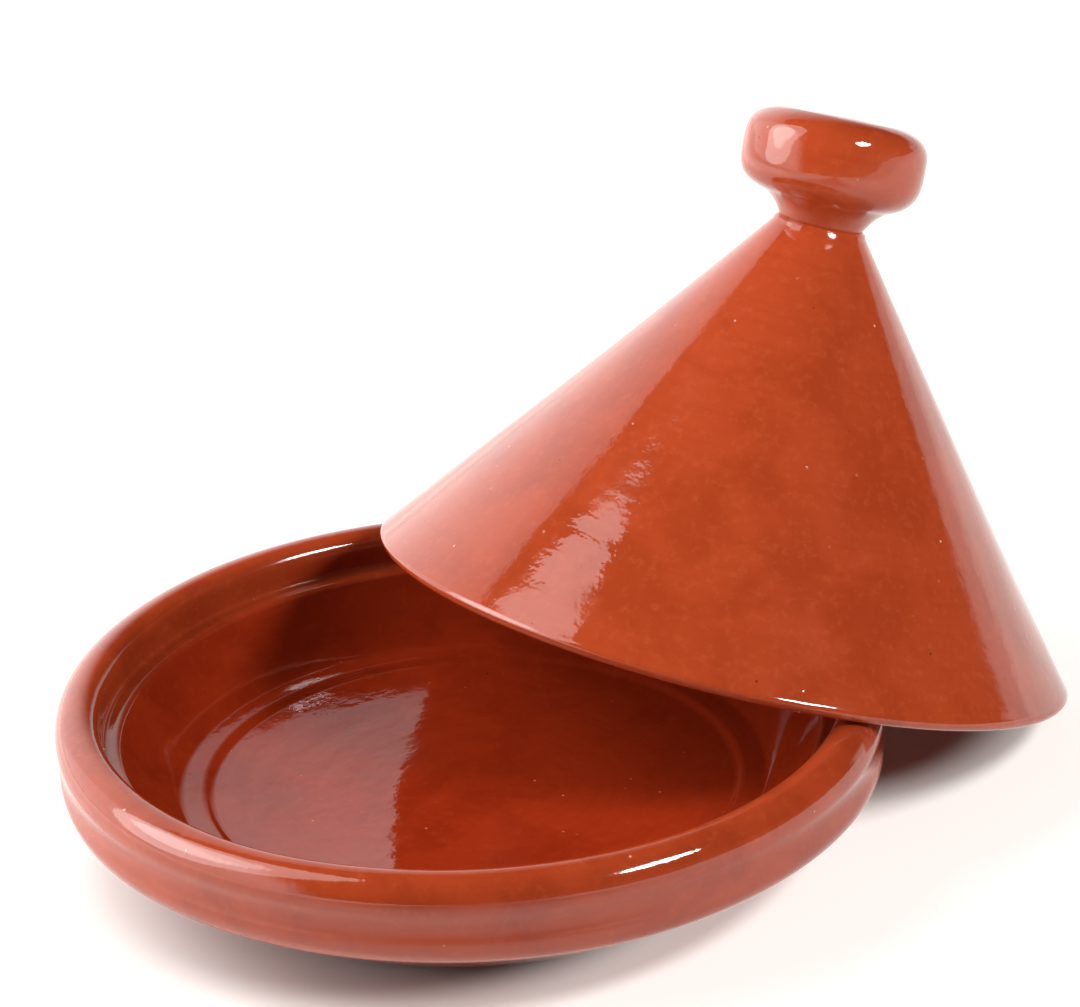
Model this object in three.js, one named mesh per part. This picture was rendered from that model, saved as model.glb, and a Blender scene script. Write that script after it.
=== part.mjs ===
// Glazed terracotta tagine: a shallow dish, and a hollow conical lid with a turned knob.
// Millimetres, Z up. The table is z = 0 and the dish axis is the Z axis.
// The lid is off the dish. Its low edge is on the table on the +X side, and its rim lies
// across the rim of the dish.
import * as THREE from "three";

const AXIS_SEGMENTS = 96;
const KNOB_SEGMENTS = 64;

// Dish, outside. A drop is measured down from the top of the rim.
const DISH_RADIUS = 145;
const DISH_HEIGHT = 59;
const FOOT_RADIUS = 97;
const FOOT_EDGE = 2;
const BELLY_RADIUS = 9;
const BELLY_REACH = 144.4;
const BELLY_DROP = 23.4;
const ROLL_OUTER_RADIUS = 9.4;
const WAIST_ANGLE = 18;
const WAIST_RADIUS = 143.1;
const WAIST_DROP = 16.2;

// Dish, inside
const ROLL_INNER_RADIUS = 6.3;
const GALLERY_RADIUS = 129.1;
const LEDGE_FILLET = 2;
const LEDGE_DROP = 14;
const LEDGE_INNER_RADIUS = 124.2;
const LEDGE_NOSE = 2.6;
const NOSE_END_ANGLE = 156;
const BOWL_BEND_RADIUS = 110.3;
const BOWL_BEND_DROP = 32.3;
const BOWL_FOOT_RADIUS = 102.8;
const BOWL_FOOT_DROP = 35.8;
const FLOOR_BAND_RADIUS = 94.6;
const FLOOR_BAND_DROP = 36.7;
const FLOOR_STEP_RADIUS = 92.2;
const FLOOR_STEP_DROP = 38.2;
const FLOOR_CENTRE_DROP = 38.6;

// Lid, in its own frame: the rim plane is height 0 and the axis is radius 0.
const LID_RADIUS = 128;
const LIP_RADIUS = 3.2;
const LIP_FLAT = 1.8;
const LID_WALL = 2 * LIP_RADIUS + LIP_FLAT;
const NECK_RADIUS = 17;
const NECK_HEIGHT = 148.6;
const NECK_SHOULDER = 2.2;
const NECK_JOINT_RADIUS = 15.2;
const JOINT_GAP = 0.3;
const CONE_HOLLOW = 0.85;
const CONE_STEPS = 7;
const CAVITY_TOP = 134;
const CAVITY_FILLET = 6;

// Knob. Its side is a rounded curve, flatter than a circle, from the underside to the crest.
const KNOB_RADIUS = 33;
const KNOB_WIDEST = 172.7;
const KNOB_ABOVE = 13;
const KNOB_BELOW = 17.6;
const KNOB_WIDTH_POWER = 0.54;
const KNOB_HEIGHT_POWER = 0.6;
const KNOB_UNDER_ANGLE = -66;
const KNOB_CREST_ANGLE = 62;
const KNOB_SIDE_STEPS = 13;
const KNOB_FLARE_RADIUS = 16.1;
const KNOB_FLARE_RISE = 5.4;
const KNOB_SAUCER_DEPTH = 2.4;
const SAUCER_STEPS = 4;

// Where the lid leans
const LID_LEAN = 20.3;
const LID_CENTRE_X = 118;
const TABLE_GAP = 0.4;

const rad = THREE.MathUtils.degToRad;

function point(radius, height) {
  return new THREE.Vector2(radius, height);
}

// A point of the dish's outline, by its depth below the top of the rim.
function below(radius, drop) {
  return point(radius, DISH_HEIGHT - drop);
}

// Points of a circular arc, both ends included. Angles are in degrees.
function arc(centre, size, from, to, steps) {
  const points = [];
  for (let i = 0; i <= steps; i += 1) {
    const angle = rad(from + ((to - from) * i) / steps);
    points.push(point(centre.x + size * Math.cos(angle), centre.y + size * Math.sin(angle)));
  }
  return points;
}

// Points of a smooth bend from one point to another, without the two ends.
function bend(start, corner, end, steps) {
  const curve = new THREE.QuadraticBezierCurve(start, corner, end);
  return curve.getPoints(steps).slice(1, -1);
}

function last(points) {
  return points[points.length - 1];
}

// A solid turned about Z from an outline of (radius, height) points.
function turned(outline, segments) {
  const geometry = new THREE.LatheGeometry(outline, segments);
  geometry.rotateX(Math.PI / 2);
  return geometry;
}

function piece(name, geometry, colour, roughness) {
  const material = new THREE.MeshStandardMaterial({ color: colour, roughness, metalness: 0 });
  const mesh = new THREE.Mesh(geometry, material);
  mesh.name = name;
  return mesh;
}

// The direction, in degrees, that faces squarely out of the straight flank. The flank is the
// outer tangent of the small foot edge circle and the larger belly circle.
function flankAngle(footCentre, bellyCentre) {
  const across = bellyCentre.x - footCentre.x;
  const up = bellyCentre.y - footCentre.y;
  const taper = Math.asin((BELLY_RADIUS - FOOT_EDGE) / Math.hypot(across, up));
  return THREE.MathUtils.radToDeg(Math.atan2(up, across) - taper) - 90;
}

// Flat underside, foot edge, flank, belly, waist and the outer half of the rim roll.
function dishOutside() {
  const footCentre = point(FOOT_RADIUS - FOOT_EDGE, FOOT_EDGE);
  const bellyCentre = below(BELLY_REACH - BELLY_RADIUS, BELLY_DROP);
  const rollCentre = below(DISH_RADIUS - ROLL_OUTER_RADIUS, ROLL_OUTER_RADIUS);
  const flank = flankAngle(footCentre, bellyCentre);
  const belly = arc(bellyCentre, BELLY_RADIUS, flank, WAIST_ANGLE, 7);
  const roll = arc(rollCentre, ROLL_OUTER_RADIUS, -WAIST_ANGLE, 90, 8);
  return [
    point(0, 0),
    ...arc(footCentre, FOOT_EDGE, -90, flank, 2),
    ...belly,
    ...bend(last(belly), below(WAIST_RADIUS, WAIST_DROP), roll[0], 3),
    ...roll,
  ];
}

// Inner half of the roll, the gallery and ledge that take the lid, the bowl wall and the floor.
function dishInside() {
  const rollCentre = below(DISH_RADIUS - ROLL_OUTER_RADIUS, ROLL_INNER_RADIUS);
  const filletCentre = below(GALLERY_RADIUS - LEDGE_FILLET, LEDGE_DROP - LEDGE_FILLET);
  const noseCentre = below(LEDGE_INNER_RADIUS, LEDGE_DROP + LEDGE_NOSE);
  const nose = arc(noseCentre, LEDGE_NOSE, 90, NOSE_END_ANGLE, 3);
  const bowlFoot = below(BOWL_FOOT_RADIUS, BOWL_FOOT_DROP);
  return [
    ...arc(rollCentre, ROLL_INNER_RADIUS, 90, 180, 5).slice(1),
    ...arc(filletCentre, LEDGE_FILLET, 0, -90, 3),
    ...nose,
    ...bend(last(nose), below(BOWL_BEND_RADIUS, BOWL_BEND_DROP), bowlFoot, 5),
    bowlFoot,
    below(FLOOR_BAND_RADIUS, FLOOR_BAND_DROP),
    below(FLOOR_STEP_RADIUS, FLOOR_STEP_DROP),
    below(0, FLOOR_CENTRE_DROP),
  ];
}

// Outer radius of the cone at a height. The side is very slightly hollow.
function coneRadius(height) {
  const share = (height - LIP_RADIUS) / (NECK_HEIGHT - NECK_SHOULDER - LIP_RADIUS);
  const straight = LID_RADIUS + (NECK_RADIUS - LID_RADIUS) * share;
  return straight - 4 * CONE_HOLLOW * share * (1 - share);
}

function coneSide(bottom, top, inset) {
  const points = [];
  for (let i = 0; i <= CONE_STEPS; i += 1) {
    const height = bottom + ((top - bottom) * i) / CONE_STEPS;
    points.push(point(coneRadius(height) - inset, height));
  }
  return points;
}

// Cavity from its roof down to the lip, round the lip, then up the outside to the neck.
function lidOutline() {
  const inside = coneSide(CAVITY_TOP - CAVITY_FILLET, LIP_RADIUS, LID_WALL);
  const roofCentre = point(inside[0].x - CAVITY_FILLET, inside[0].y);
  const lipOuter = point(LID_RADIUS - LIP_RADIUS, LIP_RADIUS);
  const lipInner = point(lipOuter.x - LIP_FLAT, LIP_RADIUS);
  const shoulder = point(NECK_RADIUS - NECK_SHOULDER, NECK_HEIGHT - NECK_SHOULDER);
  return [
    point(0, CAVITY_TOP),
    ...arc(roofCentre, CAVITY_FILLET, 90, 30, 2),
    ...inside,
    ...arc(lipInner, LIP_RADIUS, 180, 270, 3).slice(1),
    ...arc(lipOuter, LIP_RADIUS, 270, 360, 4),
    ...coneSide(LIP_RADIUS, shoulder.y, 0).slice(1),
    ...arc(shoulder, NECK_SHOULDER, 30, 90, 2),
    point(0, NECK_HEIGHT),
  ];
}

function knobSide() {
  const points = [];
  for (let i = 0; i <= KNOB_SIDE_STEPS; i += 1) {
    const share = i / KNOB_SIDE_STEPS;
    const angle = rad(KNOB_UNDER_ANGLE + (KNOB_CREST_ANGLE - KNOB_UNDER_ANGLE) * share);
    const reach = angle > 0 ? KNOB_ABOVE : -KNOB_BELOW;
    const rise = reach * Math.abs(Math.sin(angle)) ** KNOB_HEIGHT_POWER;
    points.push(point(KNOB_RADIUS * Math.cos(angle) ** KNOB_WIDTH_POWER, KNOB_WIDEST + rise));
  }
  return points;
}

// The shallow hollow in the top, from the crest in to the axis.
function knobSaucer(crest) {
  const points = [];
  for (let i = 1; i <= SAUCER_STEPS; i += 1) {
    const share = i / SAUCER_STEPS;
    const sink = KNOB_SAUCER_DEPTH * Math.sin((share * Math.PI) / 2) ** 2;
    points.push(point(crest.x * (1 - share), crest.y - sink));
  }
  return points;
}

// A short flared waist, the side, and the saucer on top.
function knobOutline() {
  const base = NECK_HEIGHT + JOINT_GAP;
  const joint = point(NECK_JOINT_RADIUS, base);
  const flare = point(KNOB_FLARE_RADIUS, base + KNOB_FLARE_RISE);
  const side = knobSide();
  return [
    point(0, base),
    joint,
    ...bend(joint, flare, side[0], 4),
    ...side,
    ...knobSaucer(last(side)),
  ];
}

// Tips the lid towards +X and sets it so that its low edge just clears the table.
function leanLid(geometry) {
  const lean = rad(LID_LEAN);
  const lipReach = LID_RADIUS - LIP_RADIUS;
  const lift = TABLE_GAP + lipReach * Math.sin(lean) + LIP_RADIUS * (1 - Math.cos(lean));
  geometry.rotateY(lean);
  geometry.translate(LID_CENTRE_X, 0, lift);
  return geometry;
}

const tagine = new THREE.Group();
tagine.name = "tagine";
tagine.add(
  piece("dish", turned([...dishOutside(), ...dishInside()], AXIS_SEGMENTS), 0xa43a1f, 0.14),
  piece("lid_cone", leanLid(turned(lidOutline(), AXIS_SEGMENTS)), 0xb84422, 0.12),
  piece("lid_knob", leanLid(turned(knobOutline(), KNOB_SEGMENTS)), 0xb03c20, 0.1),
);

export default tagine;
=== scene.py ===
"""Glazed terracotta tagine: a shallow dish, and a conical lid leaning on its rim.

The dish and both parts of the lid are turned from fine outlines that follow the CAD
solids, with the small unevenness of hand-thrown clay. Outlines are in millimetres, as
(radius, height) points, and MM turns them into metres.
"""
import math

import bpy
import numpy as np
from mathutils import Matrix, Vector, noise


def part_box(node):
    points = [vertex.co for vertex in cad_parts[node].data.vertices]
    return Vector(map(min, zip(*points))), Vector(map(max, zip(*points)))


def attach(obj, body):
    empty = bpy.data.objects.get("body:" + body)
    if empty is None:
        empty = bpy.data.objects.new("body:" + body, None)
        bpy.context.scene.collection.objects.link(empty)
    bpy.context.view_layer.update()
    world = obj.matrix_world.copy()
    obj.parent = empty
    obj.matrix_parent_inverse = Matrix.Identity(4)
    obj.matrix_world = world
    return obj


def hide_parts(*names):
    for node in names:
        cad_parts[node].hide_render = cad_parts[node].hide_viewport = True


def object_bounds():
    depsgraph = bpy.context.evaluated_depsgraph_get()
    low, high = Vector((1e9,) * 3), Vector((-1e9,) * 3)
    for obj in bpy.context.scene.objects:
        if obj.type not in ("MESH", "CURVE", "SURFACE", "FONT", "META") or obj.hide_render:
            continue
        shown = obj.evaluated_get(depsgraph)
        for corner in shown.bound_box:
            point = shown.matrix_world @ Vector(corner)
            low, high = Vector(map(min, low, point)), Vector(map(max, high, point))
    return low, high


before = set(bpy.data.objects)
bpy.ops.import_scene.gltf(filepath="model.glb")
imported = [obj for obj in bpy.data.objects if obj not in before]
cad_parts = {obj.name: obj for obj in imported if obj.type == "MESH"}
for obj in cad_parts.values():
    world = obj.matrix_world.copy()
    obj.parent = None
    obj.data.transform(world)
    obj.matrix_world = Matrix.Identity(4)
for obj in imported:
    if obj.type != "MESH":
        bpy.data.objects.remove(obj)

CAD_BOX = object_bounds()
MM = 0.001

# Dish. A drop is measured down from the top of the rim.
DISH_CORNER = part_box("dish")[1]
DISH_RADIUS = DISH_CORNER.x / MM
DISH_HEIGHT = DISH_CORNER.z / MM
FOOT_RADIUS = 97
FOOT_EDGE = 2
BELLY_RADIUS = 9
BELLY_REACH = 144.4
BELLY_DROP = 23.4
ROLL_OUTER_RADIUS = 9.4
WAIST_ANGLE = 18
WAIST_RADIUS = 143.1
WAIST_DROP = 16.2
ROLL_INNER_RADIUS = 6.3
GALLERY_RADIUS = 129.1
LEDGE_FILLET = 2
LEDGE_DROP = 14
LEDGE_INNER_RADIUS = 124.2
LEDGE_NOSE = 2.6
NOSE_END_ANGLE = 156
BOWL_BEND = (110.3, 32.3)
BOWL_FOOT = (102.8, 35.8)
FLOOR_BAND = (94.6, 36.7)
FLOOR_STEP = (92.2, 38.2)
FLOOR_CENTRE_DROP = 41

# Lid, in its own frame: the rim plane is height 0 and the axis is radius 0.
LID_RADIUS = 128
LIP_RADIUS = 3.2
LIP_FLAT = 1.8
LID_WALL = 2 * LIP_RADIUS + LIP_FLAT
NECK_RADIUS = 17
NECK_HEIGHT = 148.6
NECK_SHOULDER = 2.2
CONE_HOLLOW = 0.85
CAVITY_TOP = 134
CAVITY_FILLET = 6

# Knob, in the lid's frame. Its side is flatter than a circle, and it leans above the neck.
KNOB_RADIUS = 33
KNOB_WIDEST = 172.7
KNOB_ABOVE = 15
KNOB_BELOW = 17.6
KNOB_WIDTH_POWER = 0.54
KNOB_HEIGHT_POWER = 0.6
KNOB_UNDER_ANGLE = -56
KNOB_CREST_ANGLE = 62
KNOB_FOOT_RADIUS = 15.2
KNOB_FLARE = (18.4, 6.9)
KNOB_SAUCER_DEPTH = 2.4
KNOB_SINK = 0.4
KNOB_LEAN = 2.2
KNOB_SIDE_LEAN = 5.6
KNOB_LEAN_HEIGHT = 14

# How the lid leans
LID_LEAN = math.radians(20.3)

# Fineness of the meshes
CURVE_POINTS = 24
KNOB_SIDE_POINTS = 48
OUTLINE_STEP = 1.6
KNOB_OUTLINE_STEP = 0.8
DISH_SEGMENTS = 320
CONE_SEGMENTS = 320
KNOB_SEGMENTS = 224

# Hand-thrown unevenness, as heights and wavelengths in millimetres. It fades out close to
# the axis and close to the foot.
RING_HEIGHT = 0.05
RING_SPACING = 6.5
RING_DRIFT = 0.5
WOBBLE_HEIGHT = 0.35
WOBBLE_SPACING = 70
AXIS_FADE = 20
FOOT_FADE = 6

# The dish is bare clay below this height
BARE_BELOW = 0.6

# Colours of the clay under the glaze: usual, where it is deeper, and where it is thinner.
# The inside shade is painted shade: a tint that darkens the inside of the dish.
DISH_COLOURS = {
    "usual": (0.30, 0.038, 0.0105, 1),
    "deep": (0.245, 0.029, 0.008, 1),
    "thin": (0.36, 0.06, 0.018, 1),
    # Painted shade: a tint that darkens the inside of the dish
    "inside_shade": (0.84, 0.54, 0.42, 1),
}
LID_COLOURS = {
    "usual": (0.325, 0.044, 0.0125, 1),
    "deep": (0.275, 0.035, 0.0095, 1),
    "thin": (0.40, 0.072, 0.024, 1),
}
SPECK_COLOUR = (0.03, 0.008, 0.004, 1)
PINHOLE_COLOUR = (0.7, 0.3, 0.2, 1)
# Painted glints: bright spots in the colour that stand in for highlights on the glaze
PAINTED_GLINT_COLOUR = (0.85, 0.5, 0.4, 1)

# Small round marks in the glaze, and painted glints: cells per metre, size in cells, share of the
# cells
SPECKS = (90, 0.06, 0.1)
PINHOLES = (120, 0.09, 0.35)
# Painted glints: bright spots that stand in for highlights
PAINTED_GLINTS = (120, 0.075, 0.2)
SPOT_CORE = 0.4

# Relief of the glaze. Scales are in cells per metre, and heights in units of BUMP_DEPTH.
SWELL_SCALE, SWELL_HEIGHT = 50, 2.5
PEEL_SCALE, PEEL_HEIGHT = 210, 1.3
SKIN_SCALE, SKIN_HEIGHT = 600, 0.06
TURNING_HEIGHT = 0.4
PINHOLE_HEIGHT = 0.9
BUMP_DEPTH = 0.05 * MM

# Fine turning rings, in cells per metre along the outline and across the piece
TURNING_SCALE = 330
TURNING_DRIFT = 25

# Where the painted shade inside the dish starts and is full, by distance from the axis, and its
# lowest height
INSIDE_SHADE_EDGE = 126 * MM
INSIDE_SHADE_FULL = 120 * MM
INSIDE_SHADE_BOTTOM = 10 * MM

# Raw clay
CLAY_DARK = (0.36, 0.115, 0.055, 1)
CLAY_LIGHT = (0.5, 0.2, 0.11, 1)
GROG_COLOUR = (0.62, 0.36, 0.24, 1)
CLAY_DEPTH = 0.12 * MM

# Camera. The turn and rise are where it stands, seen from the tagine, in degrees.
VIEW_TURN = -38.83
VIEW_RISE = 24.83
VIEW_ROLL = math.radians(-2.44)
VIEW_DISTANCE = 1.6953
VIEW_OFFSET = Vector((-0.0257, -0.0171, 0.0137))
LENS = 164.86
SENSOR = 36.0
CLIP_NEAR = 0.05
CLIP_FAR = 60

# Floor. Its paper glows with painted light, but for two round painted shadows, under the dish and
# under the lid. Fades
# are in metres: outside the shades, ahead of the tagine, to either side, and away from it.
FLOOR_RADIUS = 14
FLOOR_GLOW = 0.45
GLOW_LIMIT = 1.4
LID_SHADE = 0.088
DISH_SHADE = 0.11
DISH_SHADE_CENTRE = (-0.035, 0.012, 0)
SHADE_FADE = (-0.02, 0.01)
FRONT_TURN = -39
FRONT_FADE = (0.16, 0.36, 0, 0.75)
FRONT_WIDTH = (0.1, 0.35, 1, 0)
LEFT_GLOW = (0.15, 0.45, 1, 2.6)
FAR_GLOW = (0.4, 1.4, 1, 2.5)
DIFFUSE_GLOW = 0.8
# Paper colour in the painted shade ahead of the tagine, then the paper's own colour
PAPER_IN_PAINTED_SHADE = (0.25, 0.25, 0.25, 1)
PAPER_LIGHT = (0.72, 0.70, 0.675, 1)
GLOW_COLOUR = (1, 0.95, 0.91, 1)

# Walls round the studio: the turn where each one stands, then its fade, as the cosines of
# the angle away from that turn where it starts and ends, and the brightness at both.
BACK_SWEEP = (-171, (0.3, 0.9, 0, 2.0))
LEFT_SWEEP = (-135, (0.55, 0.75, 0, 2.6))
FRONT_FILL = (5, (0.6, 0.96, 0.3, 1.5))
RIGHT_WALL = (125, (0.682, 0.731, 0, 1.0))

# Tops of the walls: the sines of the rise where the fade starts and ends, and its values
SWEEP_TOP = (0.735, 0.76, 1, 0.03)
FILL_TOP = (0.0, 0.32, 1, 0)
RIGHT_TOP = (0.1, 0.27, 1, 0)

# Shares of the walls' brightness: the sweep on diffuse rays, and the fill on other rays
# and on diffuse rays
DIFFUSE_SWEEP = 0.6
FILL_SHARES = (0.15, 0.45)

# Lights: the point that they face, and how far from it they stand
LIGHT_AIM = (0.05, 0, 0.08)
LIGHT_DISTANCE = 1.3


# ---------------------------------------------------------------- outlines

def below(radius, drop):
    """A point of the dish's outline, by its depth below the top of the rim."""
    return (radius, DISH_HEIGHT - drop)


def arc(centre, size, start, end, steps):
    """Points of a circular arc, both ends included. Angles are in degrees."""
    angles = np.radians(np.linspace(start, end, steps + 1))
    return [(centre[0] + size * math.cos(a), centre[1] + size * math.sin(a)) for a in angles]


def bend(start, corner, end, steps):
    """Points of a smooth bend between two points, without its ends."""
    points = []
    for share in np.linspace(0, 1, steps + 1)[1:-1]:
        weights = ((1 - share) ** 2, 2 * share * (1 - share), share ** 2)
        mix = [sum(w * p[i] for w, p in zip(weights, (start, corner, end))) for i in (0, 1)]
        points.append(tuple(mix))
    return points


def subdivided(outline, step):
    """The outline with long stretches cut, so that no two points are over a step apart."""
    points = [outline[0]]
    for start, end in zip(outline, outline[1:]):
        pieces = max(1, math.ceil(math.dist(start, end) / step))
        for i in range(1, pieces + 1):
            share = i / pieces
            points.append(tuple(s + (e - s) * share for s, e in zip(start, end)))
    return points


def flank_angle(foot, belly):
    """Direction, in degrees, that faces squarely out of the straight flank."""
    across, up = belly[0] - foot[0], belly[1] - foot[1]
    taper = math.asin((BELLY_RADIUS - FOOT_EDGE) / math.hypot(across, up))
    return math.degrees(math.atan2(up, across) - taper) - 90


def dish_outside():
    """Flat underside, foot edge, flank, belly, waist and the outer half of the rim roll."""
    foot = (FOOT_RADIUS - FOOT_EDGE, FOOT_EDGE)
    belly_centre = below(BELLY_REACH - BELLY_RADIUS, BELLY_DROP)
    roll_centre = below(DISH_RADIUS - ROLL_OUTER_RADIUS, ROLL_OUTER_RADIUS)
    flank = flank_angle(foot, belly_centre)
    belly = arc(belly_centre, BELLY_RADIUS, flank, WAIST_ANGLE, 16)
    roll = arc(roll_centre, ROLL_OUTER_RADIUS, -WAIST_ANGLE, 90, 20)
    waist = bend(belly[-1], below(WAIST_RADIUS, WAIST_DROP), roll[0], 8)
    return [(0, 0), *arc(foot, FOOT_EDGE, -90, flank, 6), *belly, *waist, *roll]


def dish_floor():
    """A very shallow bowl, from the step ring in to the axis."""
    step_radius, step_drop = FLOOR_STEP
    points = []
    for share in np.linspace(1, 0, CURVE_POINTS):
        drop = step_drop + (FLOOR_CENTRE_DROP - step_drop) * (1 - share * share)
        points.append(below(step_radius * share, drop))
    return points


def dish_inside():
    """Inner half of the rim roll, gallery, ledge, bowl wall and floor."""
    roll_centre = below(DISH_RADIUS - ROLL_OUTER_RADIUS, ROLL_INNER_RADIUS)
    fillet = below(GALLERY_RADIUS - LEDGE_FILLET, LEDGE_DROP - LEDGE_FILLET)
    nose_centre = below(LEDGE_INNER_RADIUS, LEDGE_DROP + LEDGE_NOSE)
    nose = arc(nose_centre, LEDGE_NOSE, 90, NOSE_END_ANGLE, 8)
    bowl_foot = below(*BOWL_FOOT)
    return [
        *arc(roll_centre, ROLL_INNER_RADIUS, 90, 180, 12)[1:],
        *arc(fillet, LEDGE_FILLET, 0, -90, 6),
        *nose,
        *bend(nose[-1], below(*BOWL_BEND), bowl_foot, 16),
        bowl_foot,
        below(*FLOOR_BAND),
        *dish_floor(),
    ]


def cone_radius(height):
    """Outer radius of the cone. The side is very slightly hollow."""
    share = (height - LIP_RADIUS) / (NECK_HEIGHT - NECK_SHOULDER - LIP_RADIUS)
    straight = LID_RADIUS + (NECK_RADIUS - LID_RADIUS) * share
    return straight - 4 * CONE_HOLLOW * share * (1 - share)


def cone_side(bottom, top, inset):
    return [(cone_radius(h) - inset, h) for h in np.linspace(bottom, top, CURVE_POINTS)]


def lid_outline():
    """Cavity from its roof down to the lip, round the lip, then up the outside to the neck."""
    inside = cone_side(CAVITY_TOP - CAVITY_FILLET, LIP_RADIUS, LID_WALL)
    roof = (inside[0][0] - CAVITY_FILLET, inside[0][1])
    lip_outer = (LID_RADIUS - LIP_RADIUS, LIP_RADIUS)
    lip_inner = (lip_outer[0] - LIP_FLAT, LIP_RADIUS)
    shoulder = (NECK_RADIUS - NECK_SHOULDER, NECK_HEIGHT - NECK_SHOULDER)
    return [
        (0, CAVITY_TOP),
        *arc(roof, CAVITY_FILLET, 90, 30, 6),
        *inside,
        *arc(lip_inner, LIP_RADIUS, 180, 270, 8)[1:],
        *arc(lip_outer, LIP_RADIUS, 270, 360, 10),
        *cone_side(LIP_RADIUS, shoulder[1], 0)[1:],
        *arc(shoulder, NECK_SHOULDER, 30, 90, 6),
        (0, NECK_HEIGHT),
    ]


def knob_side():
    points = []
    angles = np.linspace(KNOB_UNDER_ANGLE, KNOB_CREST_ANGLE, KNOB_SIDE_POINTS)
    for angle in np.radians(angles):
        reach = KNOB_ABOVE if angle > 0 else -KNOB_BELOW
        rise = reach * abs(math.sin(angle)) ** KNOB_HEIGHT_POWER
        points.append((KNOB_RADIUS * math.cos(angle) ** KNOB_WIDTH_POWER, KNOB_WIDEST + rise))
    return points


def knob_saucer(crest):
    """The shallow hollow in the top, from the crest in to the axis."""
    points = []
    for share in np.linspace(0, 1, CURVE_POINTS)[1:]:
        sink = KNOB_SAUCER_DEPTH * math.sin(share * math.pi / 2) ** 2
        points.append((crest[0] * (1 - share), crest[1] - sink))
    return points


def knob_outline():
    """A short flared waist, the side, and the saucer on top."""
    base = NECK_HEIGHT - KNOB_SINK
    joint = (KNOB_FOOT_RADIUS, base)
    flare = (KNOB_FLARE[0], base + KNOB_FLARE[1])
    side = knob_side()
    return [(0, base), joint, *bend(joint, flare, side[0], 12), *side, *knob_saucer(side[-1])]


# ---------------------------------------------------------------- meshes

def outline_normals(outline):
    """Unit vectors that face out of the solid at each outline point."""
    points = np.array(outline, float)
    along = np.gradient(points, axis=0)
    normals = np.column_stack((along[:, 1], -along[:, 0]))
    return normals / np.maximum(np.linalg.norm(normals, axis=1, keepdims=True), 1e-9)


def outline_lengths(outline):
    """Distance along the outline to each of its points."""
    steps = np.linalg.norm(np.diff(np.array(outline, float), axis=0), axis=1)
    return np.concatenate(([0], np.cumsum(steps)))


def thrown(outline, segments):
    """Rings of points, one ring per outline point, with throwing rings and a slight wobble."""
    points = np.array(outline, float)
    normals = outline_normals(outline)
    lengths = outline_lengths(outline)
    rings = np.empty((len(points), segments, 3))
    for j in range(segments):
        angle = 2 * math.pi * j / segments
        across, up = math.cos(angle), math.sin(angle)
        for i, (radius, height) in enumerate(points):
            reach = min(radius / AXIS_FADE, 1) * min(height / FOOT_FADE, 1)
            ripple = noise.noise((lengths[i] / RING_SPACING, RING_DRIFT * across, RING_DRIFT * up))
            spot = Vector((radius * across, radius * up, height)) / WOBBLE_SPACING
            move = reach * (RING_HEIGHT * ripple + WOBBLE_HEIGHT * noise.noise(spot))
            new_radius = radius + normals[i][0] * move
            rings[i, j] = (new_radius * across, new_radius * up, height + normals[i][1] * move)
    return rings


def turned_faces(count, segments):
    """Faces between the rings, and two fans that close the ends at the last two vertices."""
    faces = []
    for i in range(count - 1):
        for j in range(segments):
            k = (j + 1) % segments
            faces.append((i * segments + j, i * segments + k,
                          (i + 1) * segments + k, (i + 1) * segments + j))
    first = count * segments
    last = first + 1
    for j in range(segments):
        k = (j + 1) % segments
        faces.append((first, k, j))
        faces.append((last, (count - 1) * segments + j, (count - 1) * segments + k))
    return faces


def turned(name, outline, segments):
    """A closed solid of revolution about Z. The outline runs from axis to axis.

    Its materials read two attributes: "outline" is the distance along the outline, and
    "place" is the point itself, before the piece is leaned or moved.
    """
    rings = thrown(outline[1:-1], segments)
    vertices = [tuple(v) for v in rings.reshape(-1, 3)]
    vertices += [(0, 0, outline[0][1]), (0, 0, outline[-1][1])]
    mesh = bpy.data.meshes.new(name)
    mesh.from_pydata(vertices, [], turned_faces(len(rings), segments))
    mesh.transform(Matrix.Scale(MM, 4))
    mesh.polygons.foreach_set("use_smooth", [True] * len(mesh.polygons))
    mesh.update()
    lengths = outline_lengths(outline)
    along = np.concatenate((np.repeat(lengths[1:-1], segments), (lengths[0], lengths[-1])))
    mesh.attributes.new("outline", "FLOAT", "POINT").data.foreach_set("value", along * MM)
    place = np.array(vertices) * MM
    mesh.attributes.new("place", "FLOAT_VECTOR", "POINT").data.foreach_set("vector", place.ravel())
    piece = bpy.data.objects.new(name, mesh)
    bpy.context.scene.collection.objects.link(piece)
    return piece


def lid_placement():
    """From the lid's own frame, in metres, to where it leans on the dish."""
    low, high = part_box("lid_cone")
    lip = LIP_RADIUS * MM
    reach = (LID_RADIUS - LIP_RADIUS) * MM
    across = high.x - lip - reach * math.cos(LID_LEAN) - lip * math.sin(LID_LEAN)
    up = low.z + lip + reach * math.sin(LID_LEAN) - lip * math.cos(LID_LEAN)
    return Matrix.Translation((across, 0, up)) @ Matrix.Rotation(LID_LEAN, 4, "Y")


def lean_knob(mesh):
    """A knob pushed over by hand: it leans more the higher it is above the neck."""
    neck = Vector((0, 0, NECK_HEIGHT * MM))
    for vertex in mesh.vertices:
        climb = min(max((vertex.co.z - neck.z) / (KNOB_LEAN_HEIGHT * MM), 0), 1)
        share = climb * climb * (3 - 2 * climb)
        lean = Matrix.Rotation(math.radians(KNOB_LEAN * share), 3, "Y")
        side = Matrix.Rotation(math.radians(-KNOB_SIDE_LEAN * share), 3, "X")
        vertex.co = neck + lean @ side @ (vertex.co - neck)
    mesh.update()


# ---------------------------------------------------------------- materials

def direction(turn, rise):
    """Unit vector towards a turn about Z and a rise above the floor, in degrees."""
    a, e = math.radians(turn), math.radians(rise)
    return Vector((math.sin(a) * math.cos(e), -math.cos(a) * math.cos(e), math.sin(e)))


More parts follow.
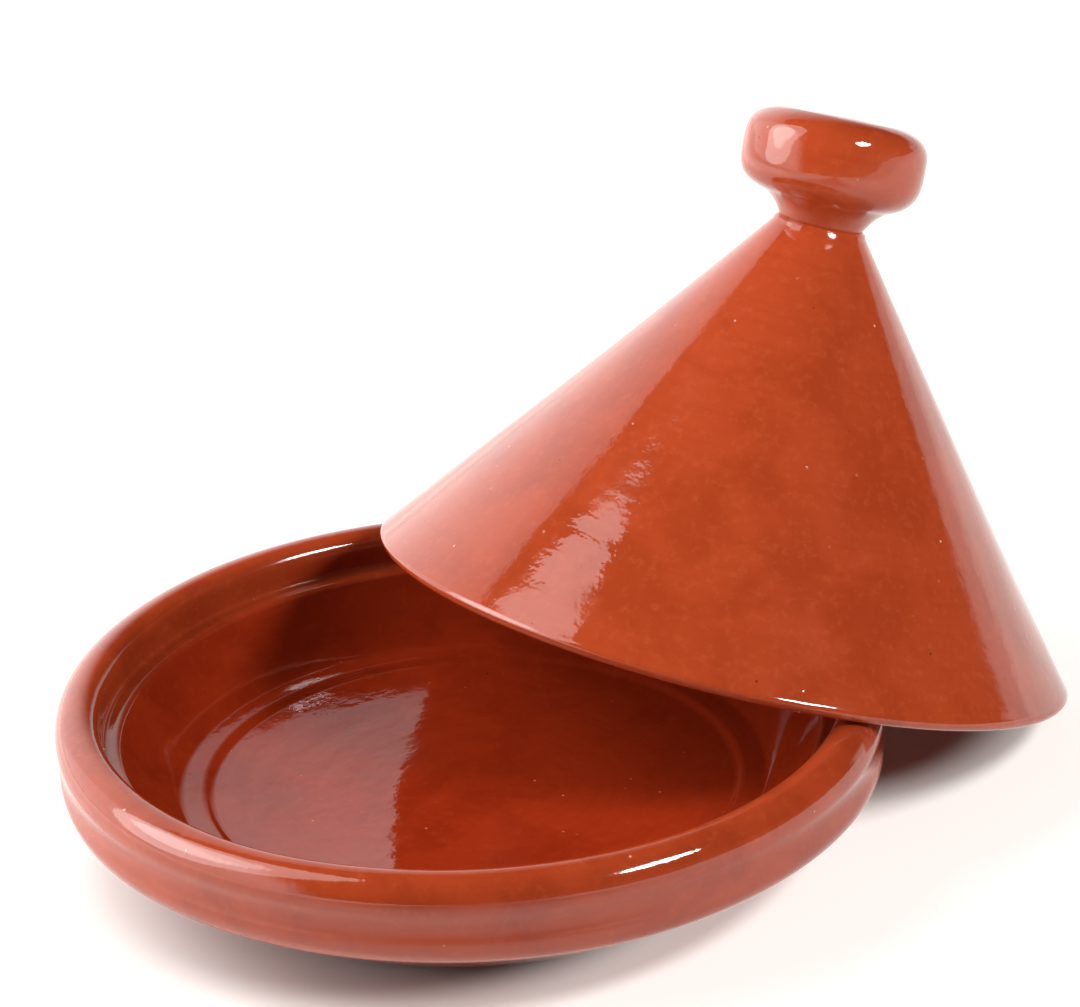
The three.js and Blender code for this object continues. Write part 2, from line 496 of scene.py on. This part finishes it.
class Nodes:
    """Short calls for building a material's node tree."""

    def __init__(self, material):
        material.use_nodes = True
        self.tree = material.node_tree
        self.tree.nodes.clear()

    def add(self, kind, inputs=None, **settings):
        node = self.tree.nodes.new("ShaderNode" + kind)
        for key, value in settings.items():
            setattr(node, key, value)
        for key, value in (inputs or {}).items():
            self.put(node.inputs[key], value)
        return node

    def put(self, socket, value):
        if isinstance(value, bpy.types.NodeSocket):
            self.tree.links.new(value, socket)
        else:
            socket.default_value = value

    def math(self, operation, *values):
        node = self.add("Math", dict(enumerate(values)), operation=operation)
        return node.outputs[0]

    def noise(self, where, scale, detail=2.0, rough=0.5, distortion=0.0):
        inputs = {"Vector": where, "Scale": scale, "Detail": detail, "Roughness": rough,
                  "Distortion": distortion}
        return self.add("TexNoise", inputs).outputs["Fac"]

    def remap(self, value, low, high, new_low=0.0, new_high=1.0):
        inputs = {"Value": value, "From Min": low, "From Max": high, "To Min": new_low,
                  "To Max": new_high}
        return self.add("MapRange", inputs, interpolation_type="SMOOTHSTEP").outputs["Result"]

    def mix(self, factor, first, second, blend="MIX"):
        """Colours mixed by a factor. A Mix node has its colour sockets after the plain ones."""
        node = self.add("Mix", data_type="RGBA", blend_type=blend)
        self.put(node.inputs["Factor"], factor)
        self.put(node.inputs[6], first)
        self.put(node.inputs[7], second)
        return node.outputs[2]

    def spots(self, where, scale, size, share):
        """1 inside small round spots, 0 outside.

        Scale is in cells per metre, size is in cells, and share is how many cells hold a spot.
        """
        cells = self.add("TexVoronoi", {"Vector": where, "Scale": scale})
        colour = self.add("SeparateColor", {"Color": cells.outputs["Color"]})
        chosen = self.math("LESS_THAN", colour.outputs[0], share)
        inside = self.remap(cells.outputs["Distance"], size, size * SPOT_CORE)
        return self.math("MULTIPLY", chosen, inside)

    def towards(self, where, turn):
        """How far a point is in the level direction of a turn about Z."""
        node = self.add("VectorMath", {0: where, 1: direction(turn, 0)}, operation="DOT_PRODUCT")
        return node.outputs["Value"]

    def beyond(self, where, centre, radius):
        """How far a point is outside a sphere."""
        away = self.add("VectorMath", {0: where, 1: centre}, operation="DISTANCE")
        return self.math("SUBTRACT", away.outputs["Value"], radius)


def turning_rings(nodes, where):
    """Fine rings that run round the piece and change slowly from side to side."""
    along = nodes.add("Attribute", attribute_name="outline").outputs["Fac"]
    split = nodes.add("SeparateXYZ", {"Vector": where})
    ring = nodes.add("CombineXYZ", {
        "X": nodes.math("MULTIPLY", split.outputs["X"], TURNING_DRIFT),
        "Y": nodes.math("MULTIPLY", split.outputs["Y"], TURNING_DRIFT),
        "Z": nodes.math("MULTIPLY", along, TURNING_SCALE),
    }).outputs[0]
    return nodes.noise(ring, 1.0, 2, 0.6)


def glaze_tone(nodes, where, rings, pinholes, colours):
    """Mottled clay colour, with dark specks, pale pinholes and painted glints: bright spots that
    stand in for highlights.
    """
    cloud = nodes.noise(where, 34, 3, 0.6, 0.4)
    mottle = nodes.noise(where, 260, 3, 0.7)
    tone = nodes.mix(nodes.remap(cloud, 0.33, 0.6), colours["deep"], colours["usual"])
    tone = nodes.mix(nodes.remap(rings, 0.45, 0.75, 0, 0.4), tone, colours["deep"])
    tone = nodes.mix(nodes.remap(mottle, 0.48, 0.8, 0, 0.45), tone, colours["thin"])
    specks = nodes.spots(where, *SPECKS)
    tone = nodes.mix(nodes.math("MULTIPLY", specks, 0.75), tone, SPECK_COLOUR)
    tone = nodes.mix(nodes.math("MULTIPLY", pinholes, 0.2), tone, PINHOLE_COLOUR)
    # Painted glints: bright spots mixed into the colour in place of highlights
    painted_glints = nodes.spots(where, *PAINTED_GLINTS)
    return nodes.mix(nodes.math("MULTIPLY", painted_glints, 0.45), tone, PAINTED_GLINT_COLOUR)


def shaded_inside(nodes, where, tone, tint):
    """The tone, darkened by painted shade inside the dish."""
    split = nodes.add("SeparateXYZ", {"Vector": where})
    level = nodes.add("CombineXYZ", {"X": split.outputs["X"], "Y": split.outputs["Y"]})
    radius = nodes.add("VectorMath", {0: level.outputs[0]}, operation="LENGTH")
    inside = nodes.remap(radius.outputs["Value"], INSIDE_SHADE_EDGE, INSIDE_SHADE_FULL)
    above = nodes.math("GREATER_THAN", split.outputs["Z"], INSIDE_SHADE_BOTTOM)
    return nodes.mix(nodes.math("MULTIPLY", inside, above), tone, tint, "MULTIPLY")


def glaze_bump(nodes, where, rings, pinholes):
    """Orange-peel skin over a slow swell, with fine turning rings and pinholes."""
    layers = [
        (nodes.noise(where, PEEL_SCALE, 2, 0.6), PEEL_HEIGHT),
        (nodes.noise(where, SWELL_SCALE, 1, 0.5), SWELL_HEIGHT),
        (nodes.noise(where, SKIN_SCALE, 1, 0.5), SKIN_HEIGHT),
        (rings, TURNING_HEIGHT),
        (pinholes, -PINHOLE_HEIGHT),
    ]
    height = 0.0
    for layer, size in layers:
        height = nodes.math("ADD", height, nodes.math("MULTIPLY", layer, size))
    bump = nodes.add("Bump", {"Strength": 1.0, "Distance": BUMP_DEPTH, "Height": height})
    return bump.outputs[0]


def glaze(name, colours):
    """Clear glossy glaze over red clay."""
    material = bpy.data.materials.new(name)
    nodes = Nodes(material)
    where = nodes.add("Attribute", attribute_name="place").outputs["Vector"]
    rings = turning_rings(nodes, where)
    pinholes = nodes.spots(where, *PINHOLES)
    tone = glaze_tone(nodes, where, rings, pinholes, colours)
    # Painted shade darkens the inside of the dish
    if "inside_shade" in colours:
        tone = shaded_inside(nodes, where, tone, colours["inside_shade"])
    bump = glaze_bump(nodes, where, rings, pinholes)
    gloss = nodes.remap(nodes.noise(where, 35, 3, 0.6), 0.4, 0.75, 0.05, 0.12)
    surface = nodes.add("BsdfPrincipled", {
        "Base Color": tone,
        "Roughness": 0.6,
        "Specular IOR Level": 0.0,
        "Normal": bump,
        "Coat Weight": 1.0,
        "Coat Roughness": gloss,
        "Coat IOR": 1.5,
        "Coat Normal": bump,
    })
    nodes.add("OutputMaterial", {"Surface": surface.outputs[0]})
    return material


def raw_clay(name):
    """Unglazed fired clay under the foot, with grog specks and wire-cut arcs."""
    material = bpy.data.materials.new(name)
    nodes = Nodes(material)
    where = nodes.add("TexCoord").outputs["Object"]
    patch = nodes.noise(where, 40, 4, 0.6)
    grain = nodes.noise(where, 900, 3, 0.7)
    tone = nodes.mix(nodes.remap(patch, 0.3, 0.7), CLAY_DARK, CLAY_LIGHT)
    tone = nodes.mix(nodes.remap(grain, 0.55, 0.85, 0, 0.6), tone, GROG_COLOUR)
    wire = nodes.add("TexWave", {"Vector": where, "Scale": 60.0, "Distortion": 3.0,
                                 "Detail": 2.0, "Detail Scale": 0.4})
    height = nodes.math("ADD", nodes.math("MULTIPLY", wire.outputs["Fac"], 0.7), grain)
    bump = nodes.add("Bump", {"Strength": 1.0, "Distance": CLAY_DEPTH, "Height": height})
    surface = nodes.add("BsdfPrincipled", {"Base Color": tone, "Roughness": 0.85,
                                           "Normal": bump.outputs[0]})
    nodes.add("OutputMaterial", {"Surface": surface.outputs[0]})
    return material


# ---------------------------------------------------------------- the tagine

def make_dish(glazed, bare):
    """The dish, glazed all over but for the underside of its foot."""
    outline = subdivided([*dish_outside(), *dish_inside()], OUTLINE_STEP)
    dish = turned("dish_glazed", outline, DISH_SEGMENTS)
    dish.data.materials.append(glazed)
    dish.data.materials.append(bare)
    for face in dish.data.polygons:
        if face.center.z < BARE_BELOW * MM:
            face.material_index = 1
    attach(dish, "dish")
    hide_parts("dish")


def make_lid(glazed):
    """The cone and its knob, turned upright and then leaned on the dish together."""
    placement = lid_placement()
    cone = turned("lid_cone_glazed", subdivided(lid_outline(), OUTLINE_STEP), CONE_SEGMENTS)
    cone.data.transform(placement)
    knob_line = subdivided(knob_outline(), KNOB_OUTLINE_STEP)
    knob = turned("lid_knob_glazed", knob_line, KNOB_SEGMENTS)
    lean_knob(knob.data)
    knob.data.transform(placement)
    for piece, node in ((cone, "lid_cone"), (knob, "lid_knob")):
        piece.data.materials.append(glazed)
        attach(piece, "lid")
        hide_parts(node)


# ---------------------------------------------------------------- studio

def make_camera():
    low, high = CAD_BOX
    back = direction(VIEW_TURN, VIEW_RISE)
    data = bpy.data.cameras.new("camera")
    data.lens, data.sensor_width = LENS, SENSOR
    data.clip_start, data.clip_end = CLIP_NEAR, CLIP_FAR
    camera = bpy.data.objects.new("camera", data)
    camera.rotation_mode = "QUATERNION"
    camera.location = (low + high) / 2 + VIEW_OFFSET + back * VIEW_DISTANCE
    level = (-back).to_track_quat("-Z", "Y").to_matrix()
    roll = Matrix.Rotation(VIEW_ROLL, 3, "Z")
    camera.rotation_quaternion = (level @ roll).to_quaternion()
    bpy.context.scene.collection.objects.link(camera)
    bpy.context.scene.camera = camera


def painted_front_shade(nodes, where, path):
    """Painted shade ahead of the tagine: 1 on lit paper, and less ahead of the tagine. Rays from
    the camera don't see it.
    """
    ahead = nodes.remap(nodes.towards(where, FRONT_TURN), *FRONT_FADE)
    across = nodes.math("ABSOLUTE", nodes.towards(where, FRONT_TURN + 90))
    near = nodes.remap(across, *FRONT_WIDTH)
    front_shade = nodes.math("SUBTRACT", 1, nodes.math("MULTIPLY", ahead, near))
    return nodes.math("MAXIMUM", front_shade, path.outputs["Is Camera Ray"])


def painted_floor_glow(nodes, where, front_shade, path):
    """Painted light given off by the paper: none under the tagine, where painted shadows are left,
    and more to the left and far away.
    """
    lid_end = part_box("lid_cone")[1].x
    dish_edge = nodes.beyond(where, DISH_SHADE_CENTRE, DISH_SHADE)
    lid_edge = nodes.beyond(where, (lid_end - LID_SHADE, 0, 0), LID_SHADE)
    # Painted shadows: round shades under the dish and under the lid
    edge = nodes.math("MINIMUM", dish_edge, lid_edge)
    glow = nodes.remap(edge, *SHADE_FADE, 0, FLOOR_GLOW)
    left = nodes.remap(nodes.towards(where, FRONT_TURN - 90), *LEFT_GLOW)
    soft = nodes.remap(path.outputs["Is Diffuse Ray"], 0, 1, 1, DIFFUSE_GLOW)
    away = nodes.add("VectorMath", {0: where}, operation="LENGTH").outputs["Value"]
    far = nodes.remap(away, *FAR_GLOW)
    for factor in (left, front_shade, soft, far):
        glow = nodes.math("MULTIPLY", glow, factor)
    return nodes.math("MINIMUM", glow, GLOW_LIMIT)


def make_floor():
    """White paper. It glows with painted light, except under and close to the tagine, where
    painted shadows are left.
    """
    bpy.ops.mesh.primitive_circle_add(vertices=96, radius=FLOOR_RADIUS, fill_type="NGON")
    floor = bpy.context.object
    floor.name = "studio_floor"
    material = bpy.data.materials.new("studio_paper")
    nodes = Nodes(material)
    where = nodes.add("TexCoord").outputs["Object"]
    path = nodes.add("LightPath")
    # Painted shade on the paper ahead of the tagine, seen only by rays that don't come from the
    # camera
    front_shade = painted_front_shade(nodes, where, path)
    surface = nodes.add("BsdfPrincipled", {
        "Base Color": nodes.mix(front_shade, PAPER_IN_PAINTED_SHADE, PAPER_LIGHT),
        "Roughness": 0.7,
        "Emission Color": GLOW_COLOUR,
        # Painted light on the floor, with painted shadows near the tagine
        "Emission Strength": painted_floor_glow(nodes, where, front_shade, path),
    })
    nodes.add("OutputMaterial", {"Surface": surface.outputs[0]})
    floor.data.materials.append(material)


def make_world():
    """White sweep behind and to the left, pale wall on the right, dark room in front."""
    world = bpy.data.worlds.new("studio")
    bpy.context.scene.world = world
    nodes = Nodes(world)
    where = nodes.add("TexCoord").outputs["Generated"]
    rise = nodes.add("SeparateXYZ", {"Vector": where}).outputs["Z"]
    path = nodes.add("LightPath")
    diffuse = path.outputs["Is Diffuse Ray"]

    def wall(turn, fade):
        return nodes.remap(nodes.towards(where, turn), *fade)

    sweep = nodes.math("MAXIMUM", wall(*BACK_SWEEP), wall(*LEFT_SWEEP))
    sweep = nodes.math("MULTIPLY", sweep, nodes.remap(rise, *SWEEP_TOP))
    sweep = nodes.math("MULTIPLY", sweep, nodes.remap(diffuse, 0, 1, 1, DIFFUSE_SWEEP))
    fill = nodes.math("MULTIPLY", wall(*FRONT_FILL), nodes.remap(rise, *FILL_TOP))
    fill = nodes.math("MULTIPLY", fill, nodes.remap(diffuse, 0, 1, *FILL_SHARES))
    right = nodes.math("MULTIPLY", wall(*RIGHT_WALL), nodes.remap(rise, *RIGHT_TOP))
    level = nodes.math("MAXIMUM", nodes.math("MAXIMUM", sweep, fill), right)
    level = nodes.math("MAXIMUM", level, path.outputs["Is Camera Ray"])
    background = nodes.add("Background", {"Color": (1, 1, 1, 1), "Strength": level})
    nodes.add("OutputWorld", {"Surface": background.outputs[0]})


def umbrella(name, turn, rise, width, height, brightness):
    """An oval light, facing the tagine. Its sizes are in metres."""
    back = direction(turn, rise)
    data = bpy.data.lights.new(name, "AREA")
    data.shape = "ELLIPSE"
    data.size, data.size_y = width, height
    data.energy = brightness * math.pi * width * height * math.pi / 4
    light = bpy.data.objects.new(name, data)
    light.location = Vector(LIGHT_AIM) + back * LIGHT_DISTANCE
    light.rotation_mode = "QUATERNION"
    light.rotation_quaternion = (-back).to_track_quat("-Z", "Y")
    light.visible_camera = False
    bpy.context.scene.collection.objects.link(light)


def make_lights():
    """A large key light with a brighter centre, and a small hard light on the other side."""
    umbrella("key", turn=-126.5, rise=37.6, width=1.06, height=1.77, brightness=3.7)
    umbrella("key_centre", turn=-129, rise=38, width=0.68, height=0.80, brightness=4.0)
    umbrella("accent", turn=14, rise=41.5, width=0.46, height=0.25, brightness=54)


make_dish(glaze("dish_glaze_skin", DISH_COLOURS), raw_clay("bare_clay"))
make_lid(glaze("lid_glaze_skin", LID_COLOURS))
make_floor()
make_world()
make_lights()
make_camera()

bpy.context.scene.view_settings.view_transform = "Standard"
